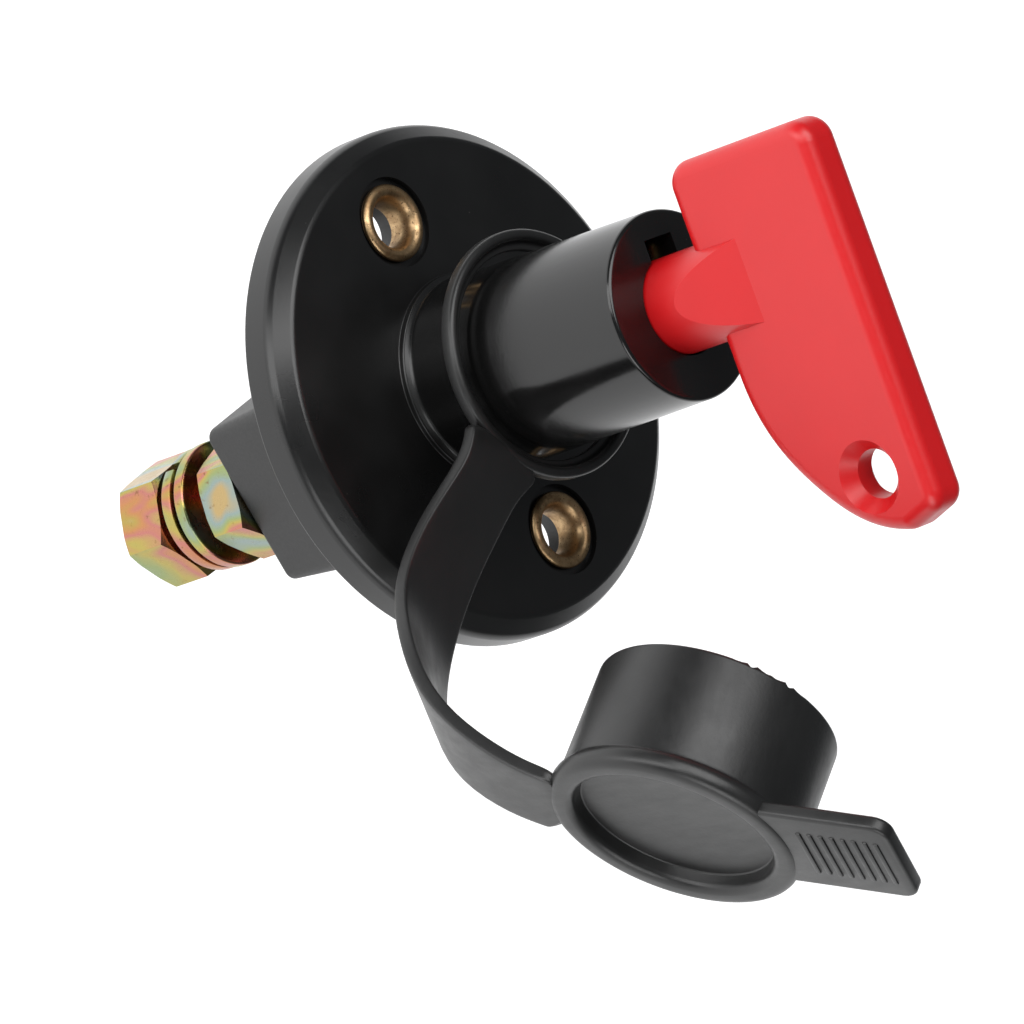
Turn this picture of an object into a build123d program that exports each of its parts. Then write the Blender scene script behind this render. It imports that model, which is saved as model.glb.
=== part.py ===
"""Battery isolator switch with two terminal studs, a removable key and a tethered dust cap.

Millimetres. The origin is the centre of the flange's mounting face and +Z points out
of the panel along the barrel towards the key. The cap's strap leaves the collar on the
-Y side. The key stands in its OFF position, where it can be drawn out of the barrel.
"""
from build123d import *
from math import cos, radians, sin, tan
import os

os.makedirs("parts", exist_ok=True)

# Flange and barrel
FLANGE_R = 37.5
FLANGE_FACE_R = 34.8
FLANGE_RIM_H = 4.8
FLANGE_FACE_H = 7.3
BOSS_R = 15.1
BOSS_H = 8.2
BARREL_BASE_R = 14.2
BARREL_END_R = 13.7
BARREL_H = 48.8
BARREL_BORE_R = 11.3
BARREL_END_WALL = 5.0
PLATE_R = 35.6
PLATE_T = 3.0
PLATE_GAP = 0.1

# Fixing eyelets
EYELET_PCD = 50.0
EYELET_ANGLE = 142.5
EYELET_BORE_R = 3.3
EYELET_TUBE_R = 4.1
EYELET_RIM_R = 5.7
EYELET_SINK_R = 6.6
EYELET_SINK_D = 1.0
EYELET_PROUD = 0.3
EYELET_FIT = 0.05

# Keyhole and key
KEY_ANGLE = 130.0
KEYHOLE_R = 7.3
KEY_STEM_R = 7.0
NOTCH_REACH = 9.9
NOTCH_W = 5.6
PIN_R = 2.4
PIN_REACH = 9.5
PIN_Z = 40.4
KEY_TIP_Z = 29.8
KEY_PLATE_Z = 56.6
KEY_PLATE_DEPTH = 27.2
KEY_SHORT_END = 18.4
KEY_LONG_END = 39.4
KEY_T = 7.0
KEY_EDGE_R = 2.2
KEY_HOLE_R = 3.5
KEY_HOLE_X = -30.6
KEY_HOLE_Z = 73.8
KEY_DISH_R = 5.2
KEY_DISH_D = 2.0
FACET_TOP_Z = 65.5
FACET_FOOT_Z = 54.0
CAM_TOP_Z = 43.4
CAM_SLOPE = 0.24
CAM_START = -100.0
CAM_SWEEP = 70.0
CAM_DEPTH = 5.0

# Rear block and its contact chamber
BLOCK_L = 54.2
BLOCK_W = 24.6
BLOCK_DEPTH = 19.0
BLOCK_DRAFT = 4.5
BLOCK_CORNER_R = 3.2
BLOCK_EDGE_R = 0.8
CHAMBER_L = 49.6
CHAMBER_W = 20.4
CHAMBER_FLOOR_Z = -15.0

# Terminal studs, M10
STUD_ANGLE = 234.0
STUD_PITCH = 40.0
STUD_R = 4.9
STUD_TIP_Z = -46.0
STUD_HEAD_L = 9.4
STUD_HEAD_W = 15.0
CONTACT_Z = -12.05
NUT_AF = 16.0
NUT_TURN = -5.0
BASE_NUT_TURN = 5.0
NUT_BORE_R = 4.98
NUT_CORNER_TRIM = 0.05
BASE_NUT_T = 7.0
NUT_T = 8.0
FLAT_WASHER_R = 9.2
FLAT_WASHER_T = 2.0
FLAT_WASHER_Z = -28.6
SPRING_WASHER_R = 9.0
SPRING_WASHER_BORE_R = 5.2
SPRING_WASHER_T = 2.4
NUT_Z = -35.3

# Contact carrier, bridge and springs
CARRIER_HEAD_R = 10.6
CARRIER_TOP_Z = 18.0
CARRIER_HEAD_Z = 8.0
POST_R = 5.5
POST_BORE_R = 3.9
POST_END_Z = -10.5
BRIDGE_L = 47.0
BRIDGE_W = 14.0
BRIDGE_T = 2.5
BRIDGE_Z = -8.0
CLIP_R = 7.4
CLIP_T = 0.9
SOCKET_TOP_Z = 40.4
SOCKET_FOOT_Z = 18.1

# Dust cap, strap and collar
COLLAR_IN_R = 15.1
COLLAR_OUT_R = 18.0
COLLAR_BEAD_R = 16.4
COLLAR_Z = 19.0
COLLAR_LIP_H = 0.9
COLLAR_H = 2.3
STRAP_W = 13.0
STRAP_T = 2.2
CAP_CENTRE = (8.0, -79.7, 56.1)
CAP_AXIS = (0.152, 0.984, 0.095)
CAP_SIDE = (0.887, -0.093, -0.452)
CAP_R = 17.0
CAP_RIM_R = 17.9
CAP_BORE_R = 14.6
CAP_H = 19.8
CAP_RIM_H = 4.4
CAP_RECESS_R = 14.0
CAP_RECESS_D = 2.6
CAP_END_T = 2.2
TAB_REACH = 34.0
TAB_W = 17.4
TAB_T = 2.2
TAB_RISE = 0.4
TAB_CORNER_R = 2.5

# The strap's run: a centre, and the direction across its width
STRAP_ROOT_RUN = [
    ((-4.4, -18.9, 20.0), (0.96, 0.04, -0.28)),
    ((-5.0, -24.5, 18.4), (0.97, 0.0, -0.23)),
    ((-6.8, -33.0, 16.0), (0.99, -0.08, -0.12)),
    ((-8.3, -41.5, 15.7), (0.98, -0.13, -0.12)),
    ((-9.0, -46.6, 16.9), (0.96, -0.16, -0.22)),
]
STRAP_CAP_RUN = [
    ((-9.4, -48.4, 17.5), (0.95, -0.17, -0.26)),
    ((-10.3, -54.6, 20.1), (0.90, -0.21, -0.39)),
    ((-10.3, -61.0, 23.2), (0.85, -0.22, -0.48)),
    ((-9.1, -67.8, 28.8), (0.80, -0.22, -0.55)),
    ((-5.7, -73.0, 36.3), (0.80, -0.16, -0.58)),
    ((-2.7, -75.1, 41.3), (0.81, -0.10, -0.58)),
]


def around(radius, angle, height=0.0):
    """A point at a radius and an angle about the switch axis."""
    return (radius * cos(radians(angle)), radius * sin(radians(angle)), height)


def turned(height, angle):
    """A plane across the switch axis whose x direction stands at an angle."""
    return Plane(origin=(0, 0, height), x_dir=around(1, angle), z_dir=(0, 0, 1))


def radial(angle):
    """The plane through the switch axis at an angle: x runs outwards, y along +Z."""
    return Plane(origin=(0, 0, 0), x_dir=around(1, angle), z_dir=around(1, angle - 90))


def save(piece, name):
    piece.label = name
    export_step(piece, f"parts/{name}.step")


eyelet_spots = [around(EYELET_PCD / 2, EYELET_ANGLE + turn) for turn in (0, 180)]
stud_spots = {
    "lower": around(STUD_PITCH / 2, STUD_ANGLE),
    "upper": around(STUD_PITCH / 2, STUD_ANGLE + 180),
}

# Front housing: the round flange and the barrel in one moulding
with BuildPart() as front_housing:
    with BuildSketch(Plane.XZ):
        with BuildLine():
            Polyline(
                (0, PLATE_T),
                (PLATE_R + PLATE_GAP, PLATE_T),
                (PLATE_R + PLATE_GAP, 0),
                (FLANGE_R, 0),
                (FLANGE_R, FLANGE_RIM_H),
                (FLANGE_FACE_R, FLANGE_FACE_H),
                (BOSS_R, FLANGE_FACE_H),
                (BOSS_R, BOSS_H),
                (BARREL_BASE_R, BOSS_H),
                (BARREL_END_R, BARREL_H),
                (0, BARREL_H),
                (0, PLATE_T),
            )
        make_face()
    revolve(axis=Axis.Z)
    fillet(front_housing.edges().filter_by(GeomType.CIRCLE).group_by(Axis.Z)[-1], 0.8)
    with BuildSketch(Plane.XY.offset(PLATE_T)):
        Circle(BARREL_BORE_R)
    extrude(amount=BARREL_H - BARREL_END_WALL - PLATE_T, mode=Mode.SUBTRACT)
    # The keyhole with its notch for the cross pin
    with BuildSketch(turned(BARREL_H, KEY_ANGLE)):
        Circle(KEYHOLE_R)
        with Locations((NOTCH_REACH / 2, 0)):
            Rectangle(NOTCH_REACH, NOTCH_W)
    extrude(amount=-2 * BARREL_END_WALL, mode=Mode.SUBTRACT)
    for spot in eyelet_spots:
        with BuildSketch(Plane.XY.offset(FLANGE_FACE_H)):
            with Locations(spot):
                Circle(EYELET_SINK_R)
        extrude(amount=-EYELET_SINK_D, mode=Mode.SUBTRACT)
        with BuildSketch(Plane.XY):
            with Locations(spot):
                Circle(EYELET_TUBE_R + EYELET_FIT)
        extrude(amount=FLANGE_FACE_H, mode=Mode.SUBTRACT)

# The sloped cam under the barrel's end wall, which drives the key inwards
cam_end = CAM_START + CAM_SWEEP
with BuildPart() as cam:
    with BuildSketch(turned(CAM_TOP_Z - CAM_DEPTH, KEY_ANGLE)):
        with BuildLine():
            CenterArc((0, 0), BARREL_BORE_R, CAM_START, CAM_SWEEP)
            CenterArc((0, 0), KEYHOLE_R, CAM_START, CAM_SWEEP)
            Line(around(BARREL_BORE_R, CAM_START), around(KEYHOLE_R, CAM_START))
            Line(around(BARREL_BORE_R, cam_end), around(KEYHOLE_R, cam_end))
        make_face()
    extrude(amount=BARREL_H - BARREL_END_WALL - CAM_TOP_Z + CAM_DEPTH)
    uphill = around(-CAM_SLOPE, KEY_ANGLE - 90)
    slope = Plane(
        origin=(0, 0, CAM_TOP_Z),
        x_dir=around(1, KEY_ANGLE),
        z_dir=(uphill[0], uphill[1], -1),
    )
    split(bisect_by=slope, keep=Keep.BOTTOM)
housing = front_housing.part + cam.part
save(housing, "front_housing")

# Rear base: the round plate in the flange and the block that holds the studs
block_flare = 2 * BLOCK_DEPTH * tan(radians(BLOCK_DRAFT))
with BuildPart() as rear_base:
    with BuildSketch(Plane.XY):
        Circle(PLATE_R)
    extrude(amount=PLATE_T)
    with BuildSketch(turned(0, STUD_ANGLE)):
        RectangleRounded(BLOCK_L + block_flare, BLOCK_W + block_flare, BLOCK_CORNER_R)
    extrude(amount=-BLOCK_DEPTH, taper=BLOCK_DRAFT)
    fillet(rear_base.edges().group_by(Axis.Z)[0], BLOCK_EDGE_R)
    with BuildSketch(turned(CHAMBER_FLOOR_Z, STUD_ANGLE)):
        RectangleRounded(CHAMBER_L, CHAMBER_W, 3.0)
    extrude(amount=PLATE_T - CHAMBER_FLOOR_Z, mode=Mode.SUBTRACT)
    for spot in stud_spots.values():
        with BuildSketch(Plane.XY.offset(CHAMBER_FLOOR_Z)):
            with Locations(spot):
                Circle(STUD_R + 0.1)
        extrude(amount=-BLOCK_DEPTH, mode=Mode.SUBTRACT)
    for spot in eyelet_spots:
        with BuildSketch(Plane.XY.offset(PLATE_T)):
            with Locations(spot):
                Circle(EYELET_TUBE_R + EYELET_FIT)
        extrude(amount=-2 * PLATE_T, mode=Mode.SUBTRACT)
    # The pocket that seats the return spring
    with BuildSketch(Plane.XY.offset(CHAMBER_FLOOR_Z)):
        Circle(POST_BORE_R)
    extrude(amount=-2.0, mode=Mode.SUBTRACT)
save(rear_base.part, "rear_base")

# Two hollow eyelets clamp the housing to the base and line the fixing holes
with BuildPart() as fixing_eyelets:
    seat = FLANGE_FACE_H - EYELET_SINK_D
    for spot in eyelet_spots:
        with BuildSketch(Plane.XY):
            with Locations(spot):
                Circle(EYELET_TUBE_R)
        extrude(amount=seat)
        with BuildSketch(Plane.XY.offset(seat)):
            with Locations(spot):
                Circle(EYELET_RIM_R)
        extrude(amount=EYELET_SINK_D + EYELET_PROUD)
    rims = fixing_eyelets.edges().filter_by(GeomType.CIRCLE).group_by(Axis.Z)[-1]
    fillet(rims, 0.6)
    for spot in eyelet_spots:
        with Locations((spot[0], spot[1], FLANGE_FACE_H + EYELET_PROUD)):
            Hole(EYELET_BORE_R)
    mouths = fixing_eyelets.edges().filter_by(GeomType.CIRCLE).group_by(Axis.Z)[-1]
    inner_mouths = mouths.sort_by(SortBy.RADIUS)[:2]
    fillet(inner_mouths, 0.6)
save(fixing_eyelets.part, "fixing_eyelets")

nut_across_corners = NUT_AF / cos(radians(30))


def hex_nut(top, thickness, spot, turn):
    """A hexagon nut whose corners are turned down at both faces."""
    with BuildPart() as turned_blank:
        with BuildSketch(Plane.XY.offset(top)):
            with Locations(spot):
                Circle(nut_across_corners / 2 + NUT_CORNER_TRIM)
        extrude(amount=-thickness)
        chamfer(turned_blank.edges().filter_by(GeomType.CIRCLE), 0.6, 1.1)
    with BuildPart() as nut:
        with BuildSketch(Plane.XY.offset(top)):
            with Locations(spot):
                RegularPolygon(nut_across_corners / 2, 6, rotation=turn)
        extrude(amount=-thickness)
        add(turned_blank.part, mode=Mode.INTERSECT)
        with Locations((spot[0], spot[1], top)):
            Hole(NUT_BORE_R)
    return nut.part


for side, spot in stud_spots.items():
    # The stud's flat head inside the chamber is the fixed contact
    with BuildPart() as stud:
        with BuildSketch(Plane.XY.offset(CHAMBER_FLOOR_Z)):
            with Locations(Location(spot, STUD_ANGLE)):
                RectangleRounded(STUD_HEAD_L, STUD_HEAD_W, 1.5)
        extrude(amount=CONTACT_Z - CHAMBER_FLOOR_Z)
        with BuildSketch(Plane.XY.offset(CHAMBER_FLOOR_Z)):
            with Locations(spot):
                Circle(STUD_R)
        extrude(amount=STUD_TIP_Z - CHAMBER_FLOOR_Z)
        chamfer(stud.edges().filter_by(GeomType.CIRCLE).group_by(Axis.Z)[0], 0.9)
    save(stud.part, f"{side}_stud")

    save(hex_nut(-BLOCK_DEPTH, BASE_NUT_T, spot, BASE_NUT_TURN), f"{side}_base_nut")

    with BuildPart() as flat_washer:
        with BuildSketch(Plane.XY.offset(FLAT_WASHER_Z)):
            with Locations(spot):
                Circle(FLAT_WASHER_R)
                Circle(STUD_R + 0.35, mode=Mode.SUBTRACT)
        extrude(amount=-FLAT_WASHER_T)
        outer_edges = flat_washer.edges().filter_by(GeomType.CIRCLE).sort_by(SortBy.RADIUS)
        fillet(outer_edges[-2:], 0.35)
    save(flat_washer.part, f"{side}_flat_washer")

    with BuildPart() as spring_washer:
        with BuildSketch(Plane.XY.offset(FLAT_WASHER_Z - FLAT_WASHER_T - 0.6)):
            with Locations(spot):
                Circle(SPRING_WASHER_R)
                Circle(SPRING_WASHER_BORE_R, mode=Mode.SUBTRACT)
            with Locations((spot[0] - SPRING_WASHER_R, spot[1])):
                Rectangle(8.0, 1.4, rotation=30, mode=Mode.SUBTRACT)
        extrude(amount=-SPRING_WASHER_T)
    save(spring_washer.part, f"{side}_spring_washer")

    save(hex_nut(NUT_Z, NUT_T, spot, NUT_TURN), f"{side}_terminal_nut")

# Contact carrier: a disc in the barrel on a hollow post
with BuildPart() as contact_carrier:
    with BuildSketch(Plane.XY.offset(CARRIER_HEAD_Z)):
        Circle(CARRIER_HEAD_R)
    extrude(amount=CARRIER_TOP_Z - CARRIER_HEAD_Z)
    chamfer(contact_carrier.edges(), 0.6)
    with BuildSketch(Plane.XY.offset(CARRIER_HEAD_Z)):
        Circle(POST_R)
    extrude(amount=POST_END_Z - CARRIER_HEAD_Z)
    with BuildSketch(Plane.XY.offset(POST_END_Z)):
        Circle(POST_BORE_R)
    extrude(amount=CARRIER_HEAD_Z - 2 - POST_END_Z, mode=Mode.SUBTRACT)
save(contact_carrier.part, "contact_carrier")

# Contact bridge: a copper bar across both studs' heads
with BuildPart() as contact_bridge:
    with BuildSketch(turned(BRIDGE_Z, STUD_ANGLE)):
        RectangleRounded(BRIDGE_L, BRIDGE_W, 3.0)
        Circle(POST_R + 0.1, mode=Mode.SUBTRACT)
    extrude(amount=BRIDGE_T)
save(contact_bridge.part, "contact_bridge")

with BuildPart() as carrier_clip:
    with BuildSketch(Plane.XY.offset(BRIDGE_Z)):
        Circle(CLIP_R)
        Circle(POST_R, mode=Mode.SUBTRACT)
        with Locations((CLIP_R, 0)):
            Rectangle(2 * POST_R, 3.0, mode=Mode.SUBTRACT)
    extrude(amount=-CLIP_T)
save(carrier_clip.part, "carrier_clip")


def coil(radius, wire, foot, top, turns):
    """A helical spring of round wire between two heights."""
    rise = top - foot - wire
    with BuildPart() as spring:
        with BuildLine():
            Helix(pitch=rise / turns, height=rise, radius=radius, center=(0, 0, foot + wire / 2))
        with BuildSketch(Plane.XZ):
            with Locations((radius, foot + wire / 2)):
                Circle(wire / 2)
        sweep(is_frenet=True)
    return spring.part


pressure_spring = coil(7.3, 1.4, BRIDGE_Z + BRIDGE_T + 0.05, CARRIER_HEAD_Z - 0.05, 4)
save(pressure_spring, "pressure_spring")
return_spring = coil(3.0, 1.0, CHAMBER_FLOOR_Z - 1.9, CARRIER_HEAD_Z - 2.1, 9)
save(return_spring, "return_spring")

# Key socket: a cup that turns with the key and presses on the carrier
with BuildPart() as key_socket:
    with BuildSketch(Plane.XY.offset(SOCKET_FOOT_Z)):
        Circle(CARRIER_HEAD_R)
    extrude(amount=SOCKET_TOP_Z - SOCKET_FOOT_Z)
    with BuildSketch(Plane.XY.offset(KEY_TIP_Z - 0.1)):
        Circle(KEYHOLE_R - 0.1)
    extrude(amount=SOCKET_TOP_Z - KEY_TIP_Z + 0.1, mode=Mode.SUBTRACT)
    with BuildSketch(turned(PIN_Z - PIN_R - 0.2, KEY_ANGLE)):
        with Locations((CARRIER_HEAD_R / 2, 0)):
            Rectangle(CARRIER_HEAD_R + 2, 2 * PIN_R + 0.6)
    extrude(amount=SOCKET_TOP_Z, mode=Mode.SUBTRACT)
save(key_socket.part, "key_socket")

# Key: a round stem that runs into a flag-shaped handle plate
plate_far_z = KEY_PLATE_Z + KEY_PLATE_DEPTH
key_plane = radial(KEY_ANGLE)
across = Axis((0, 0, 0), key_plane.z_dir)
hole_plane = Plane(
    origin=key_plane.from_local_coords((KEY_HOLE_X, KEY_HOLE_Z, 0)),
    x_dir=key_plane.x_dir,
    z_dir=key_plane.z_dir,
)
pin_plane = Plane(origin=(0, 0, PIN_Z), x_dir=(0, 0, 1), z_dir=around(1, KEY_ANGLE))

with BuildPart() as key_stem:
    with BuildSketch(Plane.XY.offset(KEY_TIP_Z)):
        Circle(KEY_STEM_R)
    extrude(amount=FACET_TOP_Z - KEY_TIP_Z)
    chamfer(key_stem.edges().group_by(Axis.Z)[0], 0.6)
    # Two sloped facets bring the round stem down to the plate's thickness
    with BuildSketch(Plane(origin=(0, 0, 0), x_dir=key_plane.z_dir, z_dir=key_plane.x_dir)):
        for side in (1, -1):
            with BuildLine():
                Polyline(
                    (side * KEY_STEM_R, -FACET_FOOT_Z),
                    (side * KEY_T / 2, -FACET_TOP_Z),
                    (side * 2 * KEY_STEM_R, -FACET_TOP_Z),
                    (side * 2 * KEY_STEM_R, -FACET_FOOT_Z),
                    close=True,
                )
            make_face()
    extrude(amount=2 * KEY_STEM_R, both=True, mode=Mode.SUBTRACT)

with BuildPart() as key_body:
    with BuildSketch(key_plane):
        with BuildLine():
            Polyline(
                (-12.0, KEY_PLATE_Z),
                (KEY_SHORT_END, KEY_PLATE_Z),
                (KEY_SHORT_END, plate_far_z),
                (-KEY_LONG_END + 2.0, plate_far_z),
                (-KEY_LONG_END, plate_far_z - 6.5),
            )
            Spline(
                (-KEY_LONG_END, plate_far_z - 6.5),
                (-30.4, KEY_PLATE_Z + 6.8),
                (-12.0, KEY_PLATE_Z),
                tangents=[(0.16, -1), (1, 0)],
            )
        make_face()
        fillet(vertices().sort_by(Axis.X)[-2:], 3.5)
        fillet(vertices().sort_by(Axis.X)[:2], 3.0)
    extrude(amount=KEY_T / 2, both=True)
    faces = key_body.faces().filter_by(across)
    fillet([edge for face in faces for edge in face.edges()], KEY_EDGE_R)
    with BuildSketch(hole_plane):
        Circle(KEY_HOLE_R)
    extrude(amount=KEY_T, both=True, mode=Mode.SUBTRACT)
    for side in (1, -1):
        with BuildSketch(hole_plane.offset(side * (KEY_T / 2 - KEY_DISH_D))):
            Circle(KEY_HOLE_R)
        with BuildSketch(hole_plane.offset(side * (KEY_T / 2 + 0.01))):
            Circle(KEY_DISH_R)
        loft(mode=Mode.SUBTRACT)
    add(key_stem.part)
    # The bore that holds the cross pin
    with BuildSketch(pin_plane):
        Circle(PIN_R)
    extrude(amount=2 * KEY_STEM_R, both=True, mode=Mode.SUBTRACT)
save(key_body.part, "key_body")

with BuildPart() as key_cross_pin:
    with BuildSketch(pin_plane.offset(-KEY_STEM_R + 0.5)):
        Circle(PIN_R)
    extrude(amount=PIN_REACH + KEY_STEM_R - 0.5)
    chamfer(key_cross_pin.edges(), 0.3)
save(key_cross_pin.part, "key_cross_pin")

# Collar of the dust cap: a flat ring with a raised bead, loose around the barrel
with BuildPart() as cap_collar:
    with BuildSketch(Plane.XZ):
        with BuildLine():
            Polyline(
                (COLLAR_IN_R, COLLAR_Z),
                (COLLAR_OUT_R, COLLAR_Z),
                (COLLAR_OUT_R, COLLAR_Z + COLLAR_H),
                (COLLAR_BEAD_R, COLLAR_Z + COLLAR_H),
                (COLLAR_BEAD_R, COLLAR_Z + COLLAR_LIP_H),
                (COLLAR_IN_R, COLLAR_Z + COLLAR_LIP_H),
                close=True,
            )
        make_face()
    revolve(axis=Axis.Z)
    fillet(cap_collar.edges().group_by(Axis.Z)[-1], 0.5)
save(cap_collar.part, "cap_collar")


def strap_run(run, name):
    """A flat strap through a row of centres, turned to each one's width direction."""
    centres = [Vector(*centre) for centre, _ in run]
    with BuildPart() as strap:
        for here, (_, width) in enumerate(run):
            before = centres[max(here - 1, 0)]
            after = centres[min(here + 1, len(run) - 1)]
            with BuildSketch(Plane(origin=centres[here], x_dir=width, z_dir=after - before)):
                Rectangle(STRAP_W, STRAP_T)
        loft(ruled=True)
    save(strap.part, name)


strap_run(STRAP_ROOT_RUN, "strap_root_half")
strap_run(STRAP_CAP_RUN, "strap_cap_half")

# Dust cap: a cup with a rounded rim, a sunk end and a flat pull tab
cap_plane = Plane(origin=CAP_CENTRE, x_dir=CAP_SIDE, z_dir=CAP_AXIS)
tab_root = CAP_RECESS_R + 1.0
with BuildPart() as dust_cap:
    with BuildSketch(cap_plane):
        Circle(CAP_RIM_R)
    extrude(amount=CAP_RIM_H)
    fillet(dust_cap.edges(), 1.6)
    with BuildSketch(cap_plane):
        Circle(CAP_R)
    extrude(amount=CAP_H)
    with BuildSketch(cap_plane):
        Circle(CAP_RECESS_R)
    extrude(amount=CAP_RECESS_D, mode=Mode.SUBTRACT)
    with BuildSketch(cap_plane.offset(CAP_RECESS_D + CAP_END_T)):
        Circle(CAP_BORE_R)
    extrude(amount=CAP_H, mode=Mode.SUBTRACT)
    with BuildSketch(cap_plane.offset(TAB_RISE)):
        with Locations((0, -(TAB_REACH + tab_root) / 2)):
            Rectangle(TAB_W, TAB_REACH - tab_root)
        fillet(vertices().sort_by(Axis.Y)[:2], TAB_CORNER_R)
    extrude(amount=TAB_T)
save(dust_cap.part, "dust_cap")
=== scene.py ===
"""Battery isolator switch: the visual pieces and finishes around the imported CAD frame.

Each operator makes one piece, or a group of like pieces, in the frame's own place
and size. Meshes are shaped in millimetres and turned to metres when they are placed.
"""
from math import cos, hypot, radians, sin, tau

import bmesh
import bpy
from bpy.props import FloatProperty, FloatVectorProperty, IntProperty, PointerProperty
from mathutils import Matrix, Vector


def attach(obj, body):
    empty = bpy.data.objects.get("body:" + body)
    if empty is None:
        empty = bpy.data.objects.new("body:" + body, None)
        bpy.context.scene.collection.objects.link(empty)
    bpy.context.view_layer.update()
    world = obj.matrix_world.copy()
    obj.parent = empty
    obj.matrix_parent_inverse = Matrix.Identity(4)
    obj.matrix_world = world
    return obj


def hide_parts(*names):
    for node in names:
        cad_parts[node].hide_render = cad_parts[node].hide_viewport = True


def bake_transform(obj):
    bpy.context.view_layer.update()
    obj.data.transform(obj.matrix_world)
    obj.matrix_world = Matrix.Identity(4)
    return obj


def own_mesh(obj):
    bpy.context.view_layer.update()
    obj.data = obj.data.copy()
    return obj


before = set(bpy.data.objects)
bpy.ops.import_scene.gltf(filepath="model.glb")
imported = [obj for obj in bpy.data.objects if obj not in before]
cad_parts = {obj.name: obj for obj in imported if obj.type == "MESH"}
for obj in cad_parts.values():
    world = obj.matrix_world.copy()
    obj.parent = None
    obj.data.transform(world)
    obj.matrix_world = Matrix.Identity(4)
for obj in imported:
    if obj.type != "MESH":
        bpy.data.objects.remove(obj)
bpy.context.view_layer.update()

bl_info = {
    "name": "Battery Isolator Switch",
    "version": (1, 0, 0),
    "blender": (4, 5, 0),
    "location": "View3D > Sidebar > Switch",
    "description": "Builds a panel battery isolator with its key and tethered dust cap",
    "category": "Object",
}

MM = 0.001
ROUND_STEPS = 5
SPIN_STEPS = 144
SMOOTH_ANGLE = radians(32)
SWITCH_AXIS = (0, 0, 1)

# Places and fits that the frame fixes, in millimetres and degrees
PLATE_TOP = 3.0
BORE_R = 11.3
END_WALL = 5.0
KEYHOLE_R = 7.3
NOTCH_REACH = 9.9
NOTCH_W = 5.6
BOSS_R = 15.1
SINK_R = 6.6
SINK_D = 1.0
TUBE_HOLE_R = 4.15
EYELET_CIRCLE_R = 25.0
EYELET_ANGLE = 142.5
KEY_ANGLE = 130.0
STUD_CIRCLE_R = 20.0
STUD_ANGLE = 234.0
CAP_CENTRE = (8.0, -79.7, 56.1)
CAP_AXIS = Vector((0.152, 0.984, 0.095)).normalized()
CAP_SIDE = Vector((0.887, -0.093, -0.452)).normalized()


def around(radius, angle, height=0.0):
    """A point at a radius and an angle in degrees about the switch axis."""
    return Vector((radius * cos(radians(angle)), radius * sin(radians(angle)), height))


EYELET_SPOTS = [around(EYELET_CIRCLE_R, EYELET_ANGLE + turn) for turn in (0, 180)]
STUD_SPOTS = {
    "lower": around(STUD_CIRCLE_R, STUD_ANGLE),
    "upper": around(STUD_CIRCLE_R, STUD_ANGLE + 180),
}
# The cap's own axes: X across, Z out of its mouth, -Y along its pull tab
CAP_PLACE = Matrix.Translation(CAP_CENTRE) @ Matrix(
    (CAP_SIDE, CAP_AXIS.cross(CAP_SIDE), CAP_AXIS)
).transposed().to_4x4()


# ---------------------------------------------------------------- colour and nodes


def linear(code):
    """An sRGB hex colour as linear red, green and blue."""
    values = [int(code[at : at + 2], 16) / 255 for at in (1, 3, 5)]
    return tuple(v / 12.92 if v <= 0.04045 else ((v + 0.055) / 1.055) ** 2.4 for v in values)


def per_mm(size):
    """The scale that makes one period of a pattern this many millimetres."""
    return 1000.0 / size


def add_node(tree, kind, inputs=None, **settings):
    """Adds a node: settings name its attributes, inputs give sockets a value or a link."""
    node = tree.nodes.new("ShaderNode" + kind)
    for key, value in settings.items():
        setattr(node, key, value)
    for key, value in (inputs or {}).items():
        if isinstance(value, bpy.types.NodeSocket):
            tree.links.new(value, node.inputs[key])
        elif isinstance(value, tuple) and len(value) == 3 and node.inputs[key].type == "RGBA":
            node.inputs[key].default_value = (*value, 1.0)
        else:
            node.inputs[key].default_value = value
    return node


def add_ramp(tree, factor, stops, interpolation="LINEAR"):
    """A colour ramp from (position, colour) stops."""
    node = add_node(tree, "ValToRGB", {"Fac": factor})
    ramp = node.color_ramp
    ramp.interpolation = interpolation
    while len(ramp.elements) > 1:
        ramp.elements.remove(ramp.elements[-1])
    ramp.elements[0].position = stops[0][0]
    for position, _ in stops[1:]:
        ramp.elements.new(position)
    for element, (_, colour) in zip(ramp.elements, stops):
        element.color = (*colour, 1.0)
    return node.outputs["Color"]


def blend_colours(tree, factor, first, second, mode="MIX"):
    """Mixes two colours by a factor."""
    node = tree.nodes.new("ShaderNodeMix")
    node.data_type = "RGBA"
    node.blend_type = mode
    for number, value in ((0, factor), (6, first), (7, second)):
        socket = node.inputs[number]
        if isinstance(value, bpy.types.NodeSocket):
            tree.links.new(value, socket)
        else:
            socket.default_value = value if isinstance(value, float) else (*value, 1.0)
    return node.outputs[2]


def start_material(name):
    """A new material with its node tree, its shader and Object coordinates."""
    material = bpy.data.materials.new(name)
    material.use_nodes = True
    tree = material.node_tree
    shader = tree.nodes["Principled BSDF"]
    place = add_node(tree, "TexCoord").outputs["Object"]
    return material, tree, shader, place


def noise(tree, place, size, detail=3.0, roughness=0.55, distortion=0.0):
    """Cloudy variation whose patches are about this many millimetres across."""
    inputs = {
        "Vector": place,
        "Scale": per_mm(size),
        "Detail": detail,
        "Roughness": roughness,
        "Distortion": distortion,
    }
    return add_node(tree, "TexNoise", inputs).outputs["Fac"]


def spread(tree, value, low, high, to_low=0.0, to_high=1.0):
    """Stretches a value's range onto another, clamped."""
    inputs = {
        "Value": value,
        "From Min": low,
        "From Max": high,
        "To Min": to_low,
        "To Max": to_high,
    }
    return add_node(tree, "MapRange", inputs).outputs["Result"]


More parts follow.
